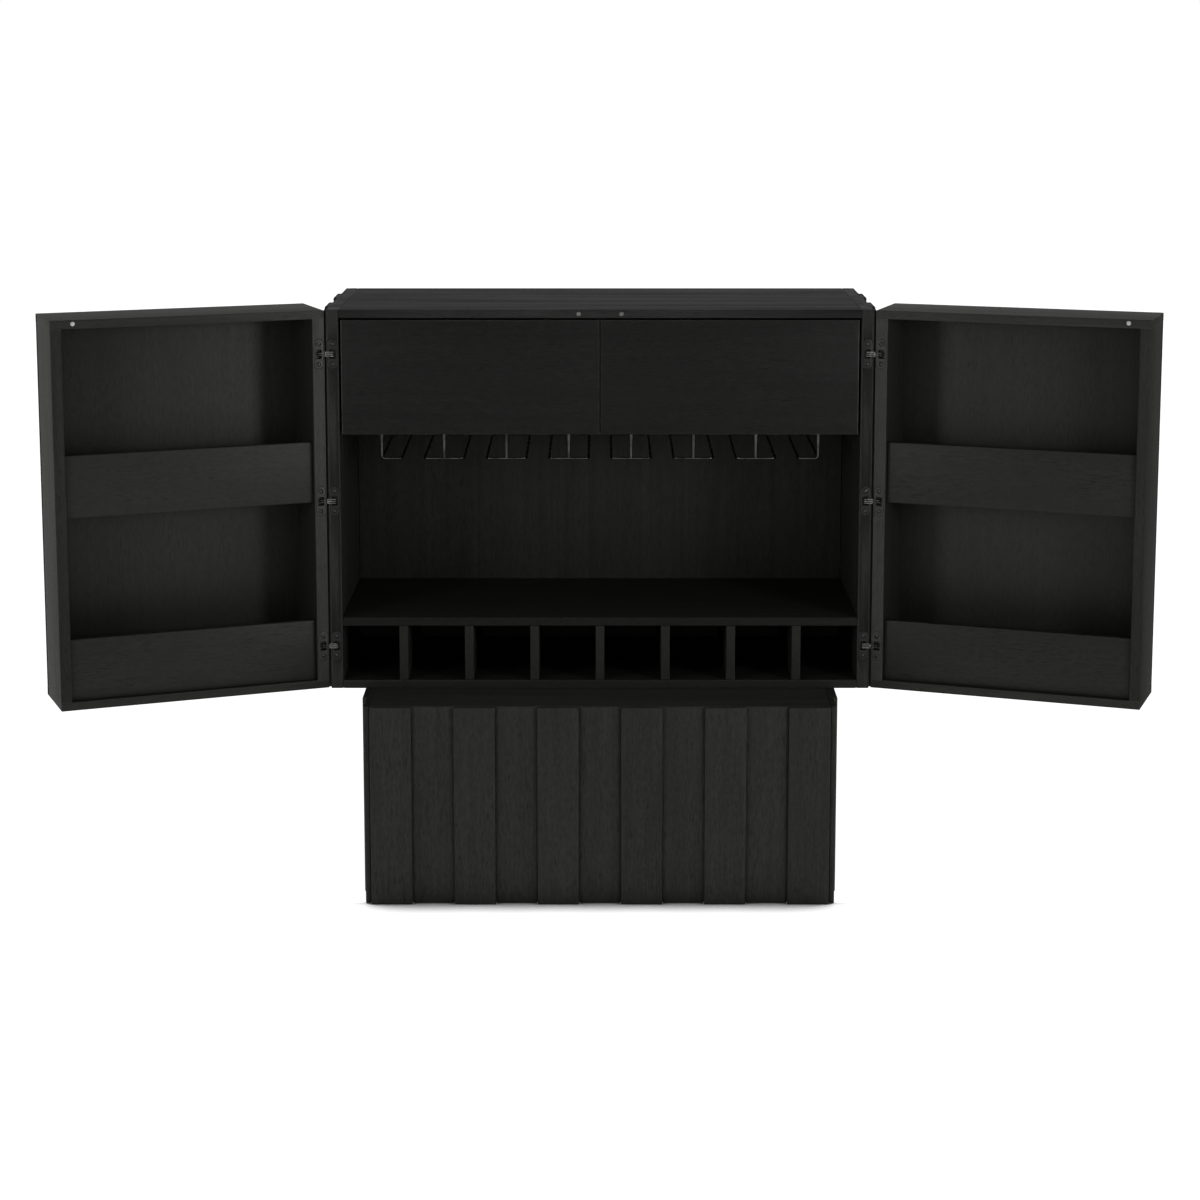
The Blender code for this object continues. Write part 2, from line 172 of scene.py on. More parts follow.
def makeWood(name, finish, turn):
    material, tree, shader = newMaterial(name)
    # each stave carries its own shift, so that the grain isn't continuous over a joint
    shift = addNode(tree, "ShaderNodeAttribute", attribute_name="boardShift")
    moved = addNode(tree, "ShaderNodeVectorMath", operation="ADD")
    tree.links.new(objectPoints(tree), moved.inputs[0])
    tree.links.new(shift.outputs["Vector"], moved.inputs[1])
    points = moved.outputs[0]

    field = grainNoise(tree, points, turn, *grainSizes["field"], 1.0, 0.35)
    rings = calc(tree, "SINE", calc(tree, "MULTIPLY", field, finish["rings"]))
    rings = spread(tree, rings, -1.0, 1.0)
    streaks = grainNoise(tree, points, turn, grainSizes["streaks"], finish["band"], 3.0, 0.55)
    streaks = spread(tree, streaks, 0.30, 0.70)
    fibres = spread(tree, grainNoise(tree, points, turn, *grainSizes["fibres"], 3.0, 0.6), 0.28, 0.72)
    patches = spread(tree, grainNoise(tree, points, turn, *grainSizes["patches"]), 0.32, 0.68)
    pores = calc(tree, "MULTIPLY",
                 spread(tree, grainNoise(tree, points, turn, *grainSizes["pores"], 1.0), 0.57, 0.66),
                 spread(tree, rings, 0.0, 1.0, 0.35, 1.0))
    mottle = spread(tree, grainNoise(tree, points, turn, *grainSizes["mottle"], 2.0, 0.6), 0.30, 0.70)

    mixed = calc(tree, "MULTIPLY", streaks, finish["streaks"])
    for part, share in ((fibres, grainShares["fibres"]), (rings, grainShares["rings"]),
                        (patches, grainShares["patches"]),
                        (mottle, grainShares["rest"] - finish["streaks"])):
        mixed = calc(tree, "ADD", mixed, calc(tree, "MULTIPLY", part, share))
    warmth = finish["warmth"]
    low = grey(finish["level"] - finish["contrast"], warmth)
    high = grey(finish["level"] + finish["contrast"], warmth)
    colour = blendColours(tree, mixed, low, high)
    colour = blendColours(tree, calc(tree, "MULTIPLY", pores, finish["pores"]), colour,
                          grey(stainLook["poreLevel"]))

    tone = addNode(tree, "ShaderNodeAttribute", attribute_name="tone").outputs["Fac"]
    tone = calc(tree, "ADD", tone, 1.0)
    toned = addNode(tree, "ShaderNodeVectorMath", operation="SCALE")
    tree.links.new(colour, toned.inputs[0])
    tree.links.new(tone, toned.inputs["Scale"])
    colour = toned.outputs[0]

    # edges are painted lighter, partly as rubbed wear and partly as a painted highlight on the arrises, most
    # where the grain is hard
    rounded = addNode(tree, "ShaderNodeBevel", samples=6)
    rounded.inputs["Radius"].default_value = finish["edge"]
    facing = addNode(tree, "ShaderNodeVectorMath", operation="DOT_PRODUCT")
    tree.links.new(rounded.outputs[0], facing.inputs[0])
    tree.links.new(addNode(tree, "ShaderNodeNewGeometry").outputs["Normal"], facing.inputs[1])
    rubAndHighlight = spread(tree, facing.outputs["Value"], *stainLook["rubHighlightRange"])
    rubAndHighlight = calc(tree, "MULTIPLY", rubAndHighlight, spread(tree, streaks, 0.2, 0.8, 0.45, 1.0))
    colour = blendColours(tree, calc(tree, "MULTIPLY", rubAndHighlight, finish["wear"]), colour,
                          grey(stainLook["rubHighlightLevel"], warmth))
    tree.links.new(colour, shader.inputs["Base Color"])

    # the stain is duller in the pores and a little shinier on the hard grain, most where it is rough
    swing = 0.05 + 0.11 * finish["relief"]
    gloss = spread(tree, mixed, 0.25, 0.75, finish["gloss"] * (1 - swing), finish["gloss"] * (1 + swing))
    gloss = calc(tree, "MULTIPLY", gloss, spread(tree, pores, 0.0, 1.0, 1.0, stainLook["poreGloss"]))
    # faces that lie flat are dulled by fine dust
    split = addNode(tree, "ShaderNodeSeparateXYZ")
    tree.links.new(addNode(tree, "ShaderNodeNewGeometry").outputs["True Normal"], split.inputs[0])
    dust = spread(tree, split.outputs["Z"], *stainLook["dustRange"])
    gloss = calc(tree, "MULTIPLY", gloss, spread(tree, dust, 0.0, 1.0, 1.0, finish["dulled"]))
    tree.links.new(gloss, shader.inputs["Specular IOR Level"])
    shader.inputs["Specular Tint"].default_value = (1, 1, 1 - 0.012 * warmth, 1)
    swing = 0.3 * swing
    rough = spread(tree, mixed, 0.2, 0.8, finish["roughness"] + swing, finish["roughness"] - swing)
    rough = calc(tree, "ADD", rough, calc(tree, "MULTIPLY", dust, stainLook["dustRoughness"]))
    tree.links.new(rough, shader.inputs["Roughness"])

    height = calc(tree, "SUBTRACT", calc(tree, "MULTIPLY", fibres, stainLook["fibreHeight"]), pores)
    bump = addBump(tree, shader, height, finish["relief"], stainLook["bumpDepth"])
    tree.links.new(rounded.outputs[0], bump.inputs["Normal"])
    return material


def makeMetal(name, look):
    material, tree, shader = newMaterial(name)
    points = objectPoints(tree)
    cloud = grainNoise(tree, points, (0, 0, 0), look["patch"], look["patch"], 3.0, 0.6)
    brushed = grainNoise(tree, points, look["turn"], 0.02, 0.0004, 2.0, 0.6)
    shade = calc(tree, "ADD", calc(tree, "MULTIPLY", cloud, 1 - look["brush"]),
                 calc(tree, "MULTIPLY", brushed, look["brush"]))
    shade = spread(tree, shade, 0.3, 0.7)
    colour = blendColours(tree, shade, look["dark"], look["light"])
    tree.links.new(colour, shader.inputs["Base Color"])
    rough = spread(tree, shade, 0.0, 1.0, look["roughness"] + 0.06, look["roughness"] - 0.04)
    tree.links.new(rough, shader.inputs["Roughness"])
    shader.inputs["Metallic"].default_value = look["metallic"]
    addBump(tree, shader, brushed, look["relief"], 0.0001)
    return material


leftDoorAngle = -158.46
rightDoorAngle = 160.07
turns = {
    "x": (0, 0, 0),
    "y": (0, 0, math.radians(90)),
    "z": (0, math.radians(-90), 0),
    "left": (0, 0, math.radians(leftDoorAngle)),
    "right": (0, 0, math.radians(rightDoorAngle)),
}

# level and contrast are on the 0 to 255 scale
# the edge lightening in each finish is partly wear and partly a painted highlight
plainFinish = dict(contrast=6, rings=65, pores=0.3, wear=0.4, edge=0.0014, roughness=0.58, gloss=0.11,
                   relief=0.4, warmth=1.6, streaks=0.24, band=0.0085, dulled=0.5)
finishes = {
    "top": dict(level=28, contrast=24, rings=60, pores=0.4, wear=0.12, edge=0.0003, roughness=0.62,
                gloss=0.07, relief=0.8, warmth=0.2, streaks=0.5, band=0.045, dulled=0.78),
    "stave": dict(level=26, contrast=9, rings=70, wear=0.8, edge=0.003, roughness=0.53, gloss=0.215,
                  relief=0.9, warmth=2.2, streaks=0.18, band=0.012, dulled=0.8),
    "caseStave": dict(level=30, contrast=7, rings=70, pores=0.35, edge=0.0026, gloss=0.165, relief=0.7,
                      warmth=0.8, band=0.01),
    "drawer": dict(level=17, contrast=5, rings=55, pores=0.22, wear=1.0, edge=0.0028, roughness=0.52,
                   gloss=0.105, warmth=0.7, streaks=0.16, band=0.014),
    "rim": dict(level=25, rings=60, pores=0.35, wear=0.5, edge=0.0016, roughness=0.54, gloss=0.14,
                relief=0.5, warmth=0.8, streaks=0.36),
    "inside": dict(level=26, contrast=8, pores=0.22, wear=0.2, roughness=0.48, streaks=0.26),
    "shelf": dict(level=27, pores=0.22, wear=0.3, edge=0.0012, roughness=0.6, gloss=0.055, band=0.012,
                  dulled=1.0),
    "divider": dict(level=31, pores=0.22, wear=0.3, edge=0.0012, roughness=0.54),
    # the plinth's top ledge is painted lighter, painted light on the ledge under the case
    "ledge": dict(level=37, contrast=9, wear=0.3, roughness=0.56, gloss=0.15, warmth=0.6, streaks=0.4,
                  band=0.014),
    "door": dict(level=24, contrast=4, pores=0.08, wear=0.35, edge=0.002, roughness=0.53, gloss=0.225,
                 relief=0.16, warmth=2.2, streaks=0.12, band=0.012),
    "stile": dict(level=28, roughness=0.48, gloss=0.29, relief=0.5, warmth=1.2),
    "rail": dict(level=29, roughness=0.52, gloss=0.225, relief=0.5, streaks=0.36, dulled=0.43),
    "panel": dict(level=25, contrast=4, pores=0.09, wear=0.35, edge=0.002, roughness=0.53, gloss=0.242,
                  relief=0.18, warmth=2.0, streaks=0.12, band=0.012),
    # a pale finish that paints a highlight on the drawers' outer upright arrises
    "arris": dict(level=66, contrast=8, rings=55, pores=0.22, edge=0.001, roughness=0.45, gloss=0.25,
                  relief=0.3, warmth=0.7, streaks=0.16, band=0.014),
    # near-black and near-matt: painted shade on end faces in gaps and on the doors' closing sides
    "paintedShade": dict(level=12, contrast=4, rings=70, wear=0.0, edge=0.0006, roughness=0.6, gloss=0.012,
                     relief=0.7, warmth=2.2, streaks=0.18, band=0.012, dulled=0.8),
    "closing": dict(level=33, contrast=7, pores=0.35, wear=0.3, gloss=0.155, relief=0.6, warmth=1.2),
    # the doors' outer closing faces: the left one painted lighter and the right one darker, painted light
    # and shade on the same wood
    "leftSide": dict(level=33, contrast=7, pores=0.35, wear=0.5, gloss=0.098, relief=0.6, warmth=3.0),
    "rightSide": dict(level=21, pores=0.35, wear=0.5, gloss=0.018, relief=0.6, warmth=3.0),
}

woods = {}


def wood(finish, grain):
    key = finish + grain.capitalize()
    if key not in woods:
        woods[key] = makeWood("blackWood-" + key, {**plainFinish, **finishes[finish]}, turns[grain])
    return woods[key]


def makePaleWood(name, turn):
    # the drawer boxes are bare wood under a thin smoked stain
    material, tree, shader = newMaterial(name)
    points = objectPoints(tree)
    streaks = spread(tree, grainNoise(tree, points, turn, 0.4, 0.007, 4.0, 0.6), 0.3, 0.7)
    fibres = spread(tree, grainNoise(tree, points, turn, 0.05, 0.0012, 2.0, 0.6), 0.3, 0.7)
    mixed = calc(tree, "ADD", calc(tree, "MULTIPLY", streaks, 0.6), calc(tree, "MULTIPLY", fibres, 0.4))
    colour = blendColours(tree, mixed, (0.070, 0.053, 0.037, 1), (0.118, 0.094, 0.068, 1))
    tree.links.new(colour, shader.inputs["Base Color"])
    tree.links.new(spread(tree, mixed, 0.0, 1.0, 0.62, 0.50), shader.inputs["Roughness"])
    shader.inputs["Specular IOR Level"].default_value = 0.3
    addBump(tree, shader, fibres, 0.4, 0.0002)
    return material


paleWoodX = makePaleWood("drawerWood-x", turns["x"])
paleWoodY = makePaleWood("drawerWood-y", turns["y"])

plainMetal = dict(metallic=1.0, relief=0.2, patch=0.004, brush=0.4, turn=turns["x"])
metals = {
    "bronze": dict(dark=(0.020, 0.0200, 0.0175, 1), light=(0.066, 0.066, 0.058, 1), roughness=0.25,
                   relief=0.0, patch=0.02, brush=0.0),
    "casePlate": dict(dark=(0.007, 0.007, 0.0069, 1), light=(0.021, 0.021, 0.0205, 1), roughness=0.50,
                      metallic=0.8, turn=turns["z"]),
    "doorPlate": dict(dark=(0.018, 0.018, 0.0176, 1), light=(0.040, 0.040, 0.039, 1), roughness=0.50,
                      metallic=0.8, turn=turns["z"]),
    # the case half's arms carry bright and near-black patches that paint glints and shade, and the door
    # half's arms are a darker copy of the same metal
    "caseArm": dict(dark=(0.02, 0.02, 0.019, 1), light=(0.42, 0.415, 0.40, 1), roughness=0.24,
                    patch=0.0028, brush=0.0),
    "doorArm": dict(dark=(0.020, 0.020, 0.019, 1), light=(0.11, 0.109, 0.106, 1), roughness=0.32),
    "screw": dict(dark=(0.018, 0.018, 0.018, 1), light=(0.055, 0.055, 0.053, 1), roughness=0.34,
                  relief=0.1, patch=0.003),
    "magnet": dict(dark=(0.045, 0.046, 0.040, 1), light=(0.17, 0.172, 0.158, 1), roughness=0.38,
                   metallic=0.7, relief=0.3, patch=0.003),
    "doorMagnet": dict(dark=(0.16, 0.163, 0.148, 1), light=(0.60, 0.606, 0.57, 1), roughness=0.38,
                       metallic=0.7, relief=0.3, patch=0.003),
    "zinc": dict(dark=(0.36, 0.36, 0.35, 1), light=(0.54, 0.54, 0.52, 1), roughness=0.32, patch=0.015,
                 turn=turns["y"]),
}
metal = {name: makeMetal("metal-" + name, {**plainMetal, **look}) for name, look in metals.items()}
print("materials made")


# mesh helpers

chance = random.Random(11)
touching = 1e-6


def newBoards():
    bm = bmesh.new()
    for name in ("tone", "boardShift", "made"):
        bm.faces.layers.float.new(name)
    return bm


def addBoard(bm, low, high, edge=0.0012, tone=0.0, shift=0.0, slot=0, joints=()):
    # the joints are planes, (axis, place), in which the edges stay sharp
    low, high = Vector(map(min, low, high)), Vector(map(max, low, high))
    place = Matrix.Translation((low + high) / 2) @ Matrix.Diagonal((*(high - low), 1))
    made = bmesh.ops.create_cube(bm, size=1, matrix=place)
    edges = {line for vert in made["verts"] for line in vert.link_edges}
    edges = [line for line in edges if not any(
        all(abs(vert.co[axis] - where) < touching for vert in line.verts) for axis, where in joints)]
    bevelEdges(bm, edges, edge, 3, True)
    markFaces(bm, tone, shift, slot)


def staveLook(look, tone=0.0):
    # each stave has its own shade and its own stretch of grain
    return {"tone": chance.uniform(-1, 1) * look["toneSpread"] + tone, "shift": chance.uniform(0, 6)}


def markFaces(bm, tone, shift, slot):
    layers = bm.faces.layers.float
    done, toneLayer, shiftLayer = layers["made"], layers["tone"], layers["boardShift"]
    for face in bm.faces:
        if face[done] < 0.5:
            face[done], face[toneLayer], face[shiftLayer] = 1.0, tone, shift
            face.material_index = slot


def meshObject(bm, name):
    bmesh.ops.recalc_face_normals(bm, faces=bm.faces)
    mesh = bpy.data.meshes.new(name)
    bm.to_mesh(mesh)
    bm.free()
    made = bpy.data.objects.new(name, mesh)
    scene.collection.objects.link(made)
    return made


def addPiece(bm, name, materials, body, stands=(), place=None, smooth=38):
    if place is not None:
        bmesh.ops.transform(bm, matrix=place, verts=bm.verts)
    piece = meshObject(bm, name)
    for material in materials:
        piece.data.materials.append(material)
    piece.data.shade_smooth()
    piece.data.set_sharp_from_angle(angle=math.radians(smooth))
    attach(piece, body)
    if stands:
        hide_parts(*stands)
    return piece


def carve(piece, cutter, useSelf=True):
    cut = piece.modifiers.new("carved", "BOOLEAN")
    cut.operation = "DIFFERENCE"
    cut.solver = "EXACT"
    cut.use_self = useSelf
    cut.object = cutter
    bpy.context.view_layer.update()
    # the cut is worked into the mesh
    graph = bpy.context.evaluated_depsgraph_get()
    mesh = bpy.data.meshes.new_from_object(piece.evaluated_get(graph), depsgraph=graph)
    piece.modifiers.clear()
    piece.data = mesh
    bpy.data.objects.remove(cutter)


def bevelEdges(bm, edges, offset, segments, clamp=False):
    bmesh.ops.bevel(bm, geom=edges, offset=offset, offset_type="OFFSET", segments=segments, profile=0.5,
                    affect="EDGES", clamp_overlap=clamp, material=-1)


def pushFaces(bm, faces, vec):
    pushed = bmesh.ops.extrude_face_region(bm, geom=faces)
    verts = [part for part in pushed["geom"] if isinstance(part, bmesh.types.BMVert)]
    bmesh.ops.translate(bm, verts=verts, vec=vec)


def stadium(bm, width, height, centre, depth, sides=32):
    # an upright rounded block that starts in the x z plane and goes in along y
    verts = bmesh.ops.create_circle(bm, cap_ends=True, segments=sides, radius=width / 2)["verts"]
    bmesh.ops.rotate(bm, verts=verts, matrix=Matrix.Rotation(math.pi / sides, 3, "Z"))
    bmesh.ops.rotate(bm, verts=verts, matrix=Matrix.Rotation(math.pi / 2, 3, "X"))
    for way in (1, -1):
        bmesh.ops.translate(bm, verts=[vert for vert in verts if vert.co.z * way > 0],
                            vec=(0, 0, way * (height - width) / 2))
    bmesh.ops.translate(bm, verts=verts, vec=centre)
    pushFaces(bm, list({face for vert in verts for face in vert.link_faces}), (0, depth, 0))


# plinth staves: separate boards on a backing board, level and raised by turns

plinthLook = {
    "frontStaves": 11,
    "sideStaves": (0.0695,) + (0.07610,) * 6 + (0.0254,),
    "relief": 0.0075,
    "faceDepth": 0.011,
    "levelThickness": 0.0104,
    "topJoint": 0.0183,
    "gap": 0.00015,
    "arris": 0.0018,
    "toneSpread": 0.09,
    "raisedTone": 0.02,
    "levelTone": -0.03,
}


def buildPlinthFront(look):
    low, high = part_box("plinth_front")
    bm = newBoards()
    backingY = low.y + look["faceDepth"]
    width = (high.x - low.x) / look["frontStaves"]
    for number in range(look["frontStaves"]):
        raised = number % 2 == 0
        faceY = low.y if raised else low.y + look["relief"]
        start = low.x + number * width
        addBoard(bm, (start + look["gap"], faceY, 0), (start + width - look["gap"], backingY, high.z),
                 edge=look["arris"], **staveLook(look, look["raisedTone" if raised else "levelTone"]))
    addBoard(bm, (low.x, backingY, 0), (high.x, high.y, high.z - look["topJoint"]), shift=2.2)
    addPiece(bm, "plinthFrontStaves", [wood("stave", "z")], "cabinet", ["plinth_front"])


def buildPlinthSide(look, side, node, name):
    low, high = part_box(node)
    innerX = side * min(abs(low.x), abs(high.x))
    bm = newBoards()
    start = low.y
    for number, width in enumerate(look["sideStaves"]):
        out = look["levelThickness"] + (look["relief"] if number % 2 else 0)
        end = min(start + width, high.y)
        addBoard(bm, (innerX, start + look["gap"], 0), (innerX + side * out, end - look["gap"], high.z),
                 edge=look["arris"], **staveLook(look))
        start = end
    addPiece(bm, name, [wood("stave", "z")], "cabinet", [node])


buildPlinthFront(plinthLook)
buildPlinthSide(plinthLook, -1, "plinth_left_side", "plinthLeftStaves")
buildPlinthSide(plinthLook, 1, "plinth_right_side", "plinthRightStaves")
print("plinth staves made")


# case sides: a backing board with the same staves outside, and three mortises in the front edge;
# each stave is given as its width and whether it is raised

caseSideLook = {
    "staves": ((0.052, False), (0.084, True), (0.084, False), (0.084, True), (0.108, False)),
    "thickness": 0.0225,
    "relief": 0.007,
    "backing": 0.0145,
    "gap": 0.00015,
    "toneSpread": 0.07,
    "halfWidth": 0.5,
    "beadReach": 0.0044,
    "beadSetback": 0.0105,
    "beadDepth": 0.0050,
    "beadRoot": 0.001,
    "beadEnd": 0.0005,
    "beadTone": 0.5,
    "paintedTopHighlightTone": 1.2,
}
hingeHeights = [sum(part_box(f"left_{label}_hinge_case_half")[end].z for end in (0, 1)) / 2
                for label in ("lower", "middle", "upper")]
hingeLook = {
    "cupWidth": 0.018,
    "cupHeight": 0.055,
    "cupDepth": 0.014,
    "mortiseClearance": 0.0003,
    "overrun": 0.002,
    "plateArris": 0.0006,
    "pocketWidth": 0.0118,
    "pocketHeight": 0.0168,
    "pocketDepth": 0.010,
    "pocketArris": 0.0015,
    "pivotOffset": 0.0012,
    "gap": 0.003,
    "screwHeight": 0.0185,
    "screwHole": 0.0041,
    "screwHoleFlare": 0.0004,
    "screwHoleDepth": 0.0036,
    "screwHead": 0.0036,
    "screwRise": 0.0011,
    "screwSeat": 0.0016,
    "recessSeat": 0.0004,
    "recessSize": (0.00414, 0.0016, 0.000936),
    "recessTurns": (0.4, 1.0),
    "linkThickness": 0.0024,
    "linkHeight": 0.0011,
    "linkSpacing": 0.0018,
    "linkWidth": 0.0040,
    "linkCount": 5,
    "linkArris": 0.00025,
    "linkRoot": 0.0005,
    "knuckleSteps": 8,
    "pinRadius": 0.0007,
}
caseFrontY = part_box("case_top")[0].y


def cutMortises(piece, look, centreX, faceY, depthWay, place=None):
    bm = bmesh.new()
    clearance = look["mortiseClearance"]
    for height in hingeHeights:
        stadium(bm, look["cupWidth"] + 2 * clearance, look["cupHeight"] + 2 * clearance,
                (centreX, faceY - depthWay * look["overrun"], height),
                depthWay * (look["cupDepth"] + look["overrun"] + clearance))
    if place is not None:
        bmesh.ops.transform(bm, matrix=place, verts=bm.verts)
    carve(piece, meshObject(bm, "mortises"), False)


def buildCaseSide(look, side, node, name):
    low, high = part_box(node)
    innerX = side * min(abs(low.x), abs(high.x))
    bm = newBoards()
    start = low.y
    for number, (width, raised) in enumerate(look["staves"]):
        out = look["thickness"] + (look["relief"] if raised else 0)
        # the front stave is solid, because the hinges are let into it
        inner = 0 if number == 0 else look["backing"]
        addBoard(bm, (innerX + side * inner, start + look["gap"] * (number > 0), low.z),
                 (innerX + side * out, min(start + width, high.y) - look["gap"], high.z),
                 **staveLook(look))
        start += width
    addBoard(bm, (innerX, low.y + look["staves"][0][0], low.z),
             (innerX + side * look["backing"], high.y, high.z), edge=0.0002, shift=3.1)
    # a slim bead close behind the front edge shades the gap beside the open door
    beadY = low.y + look["beadSetback"]
    addBoard(bm, (innerX + side * (look["thickness"] - look["beadRoot"]), beadY, low.z + look["beadEnd"]),
             (innerX + side * (look["thickness"] + look["beadReach"]), beadY + look["beadDepth"],
              high.z - look["beadEnd"]), edge=0.0008, tone=look["beadTone"], shift=1.7)
    # faces that look up take the top's finish, and their raised tone is a painted highlight from the top's
    # sheen
    bm.normal_update()
    toneLayer = bm.faces.layers.float["tone"]
    for face in bm.faces:
        if face.normal.z > 0.9:
            face.material_index, face[toneLayer] = 1, look["paintedTopHighlightTone"]
    piece = addPiece(bm, name, [wood("caseStave", "z"), wood("top", "x")], "cabinet", [node])
    cutMortises(piece, hingeLook, side * (look["halfWidth"] - look["thickness"] / 2), caseFrontY, 1)


buildCaseSide(caseSideLook, -1, "case_left_side", "caseLeftStaves")
buildCaseSide(caseSideLook, 1, "case_right_side", "caseRightStaves")
print("case sides made")


# doors: made shut, then turned on their hinge axes to stand as they do in the frame

doorLook = {
    "width": 0.4985,
    "rimY": -0.0015,
    "depth": 0.140,
    "skin": 0.008,
    "relief": 0.007,
    "innerLayer": 0.004,
    "staves": 6,
    "hingeStile": 0.0225,
    "closingStile": 0.020,
    "lowZ": 0.3871,
    "highZ": 1.0615,
    "binSetback": 0.010,
    "binFront": 0.012,
    "binFloor": 0.010,
    "binHeight": 0.113,
    "binZ": 0.721,
    "seatGap": 0.0003,
    "toneSpread": 0.06,
    "gap": 0.00015,
    "frameEdge": 0.0012,
    "paintedShadeZone": 0.002,
    # tone and grain shifts are for the left door and the right one
    "binTones": (0.03, -0.40),
    "panelShifts": (1.3, 4.6),
    "frameShifts": (0.0, 2.3),
    "frameShiftStep": 0.8,
    "upperBinShifts": (0.7, 5.2),
    "lowerBinShifts": (2.9, 1.9),
}
hingeAxis = (0.5012, -0.134)
doorBackY = doorLook["rimY"] - doorLook["depth"]
doorInnerY = doorBackY + doorLook["skin"] + doorLook["relief"]


def doorPlace(side):
    angle = leftDoorAngle if side < 0 else rightDoorAngle
    return Matrix.Translation((side * hingeAxis[0], hingeAxis[1], 0)) @ Matrix.Rotation(
        math.radians(angle), 4, "Z")


def doorPoint(side, u, y, z):
    # u runs from the hinge edge to the closing edge
    return (-side * (hingeLook["pivotOffset"] + u), y, z)


def buildDoorPanel(look, side, name):
    layerY = doorInnerY - look["innerLayer"]
    bm = newBoards()
    addBoard(bm, doorPoint(side, 0, doorInnerY, look["lowZ"]),
             doorPoint(side, look["width"], layerY, look["highZ"]), edge=0.0006,
             shift=look["panelShifts"][side > 0], slot=1)
    width = look["width"] / look["staves"]
    for number in range(look["staves"]):
        out = look["skin"] + (look["relief"] if number % 2 else 0)
        addBoard(bm, doorPoint(side, number * width + look["gap"], layerY, look["lowZ"]),
                 doorPoint(side, (number + 1) * width - look["gap"], doorInnerY - out, look["highZ"]),
                 edge=0.0016, **staveLook(look))
    bm.normal_update()
    # the faces at the closing end are painted near-black, painted shade where the staves' ends sit
    endX = doorPoint(side, look["width"] - look["paintedShadeZone"], 0, 0)[0]
    for face in bm.faces:
        if face.calc_center_median().x * -side > endX * -side:
            face.material_index = 2
    addPiece(bm, name + "DoorStaves", [wood("stave", "z"), wood("panel", "z"), wood("paintedShade", "z")],
             name + "_door", [name + "_door_panel"], place=doorPlace(side))


def buildDoorFrame(look, side, name):
    # the rails run the whole width and the stiles stand between them, as the end grain shows
    lowEnd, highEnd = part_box(name + "_door_bottom_rail")[0].z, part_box(name + "_door_top_rail")[1].z
    lowZ, highZ, width = look["lowZ"], look["highZ"], look["width"]
    joints = ((1, doorInnerY), (2, lowZ), (2, highZ))
    # the outer closing faces are painted lighter on the left door and darker on the right, painted light and
    # shade on one wood
    closingSidePaintedLighting = wood(name + "Side", "z")
    pieces = (
        ("top_rail", 0, width, highZ, highEnd, wood("rail", name), closingSidePaintedLighting),
        ("bottom_rail", 0, width, lowEnd, lowZ, wood("rail", name), closingSidePaintedLighting),
        ("hinge_stile", 0, look["hingeStile"], lowZ, highZ, wood("stile", "z"), wood("stile", "z")),
        ("closing_stile", width - look["closingStile"], width, lowZ, highZ, wood("closing", "z"),
         closingSidePaintedLighting),
    )
    for number, (title, startU, endU, startZ, endZ, finish, endFinish) in enumerate(pieces):
        shift = look["frameShiftStep"] * number + look["frameShifts"][side > 0]
        bm = newBoards()
        # behind the stiles each rail covers the ends of the staves
        layers = ((look["rimY"], doorInnerY), (doorInnerY, doorBackY))
        for frontY, rearY in layers if title.endswith("rail") else layers[:1]:
            addBoard(bm, doorPoint(side, startU, frontY, startZ), doorPoint(side, endU, rearY, endZ),
                     look["frameEdge"], shift=shift, joints=joints)
        bm.normal_update()
        # faces towards the closing side take the door's painted lighting in front of the inner layer, and
        # painted shade behind it
        for face in bm.faces:
            if face.normal.x * -side > 0.9:
                face.material_index = 1 if face.calc_center_median().y > doorInnerY else 2
        words = "".join(word.capitalize() for word in title.split("_"))
        piece = addPiece(bm, name + "Door" + words, [finish, endFinish, wood("paintedShade", "z")],
                         name + "_door", [name + "_door_" + title], place=doorPlace(side))
        if title == "hinge_stile":
            cutMortises(piece, hingeLook, -side * (hingeLook["pivotOffset"] + look["hingeStile"] / 2),
                        look["rimY"], -1, doorPlace(side))


def buildBins(look, side, name):
    lowU = look["hingeStile"] + look["seatGap"]
    highU = look["width"] - look["closingStile"] - look["seatGap"]
    frontY = look["rimY"] - look["binSetback"]
    for node, startZ, shifts in (("upper_bin", look["binZ"], look["upperBinShifts"]),
                                 ("lower_bin_front", look["lowZ"], look["lowerBinShifts"])):
        bm = newBoards()
        addBoard(bm, doorPoint(side, lowU, frontY, startZ),
                 doorPoint(side, highU, frontY - look["binFront"], startZ + look["binHeight"]),
                 edge=0.0014, tone=look["binTones"][side > 0], shift=shifts[side > 0])
        if node == "upper_bin":
            # the lower bin stands on the bottom rail and has no floor of its own
            addBoard(bm, doorPoint(side, lowU, frontY - look["binFront"], startZ),
                     doorPoint(side, highU, doorInnerY + look["seatGap"], startZ + look["binFloor"]),
                     edge=0.0006, shift=3.9)
        words = "".join(word.capitalize() for word in node.split("_"))
        addPiece(bm, name + words, [wood("door", name)], name + "_door", [name + "_door_" + node],
                 place=doorPlace(side))


for side, name in ((-1, "left"), (1, "right")):
    buildDoorPanel(doorLook, side, name)
    buildDoorFrame(doorLook, side, name)
    buildBins(doorLook, side, name)
print("doors made")


# concealed hinges: black screwed plates let into the rims, and bright interleaved arms between them

def bareMesh(made):
    # the shape alone, to be copied for each hinge half
    bm = bmesh.new()
    bm.from_mesh(made.data)
    bpy.data.objects.remove(made)
    return bm


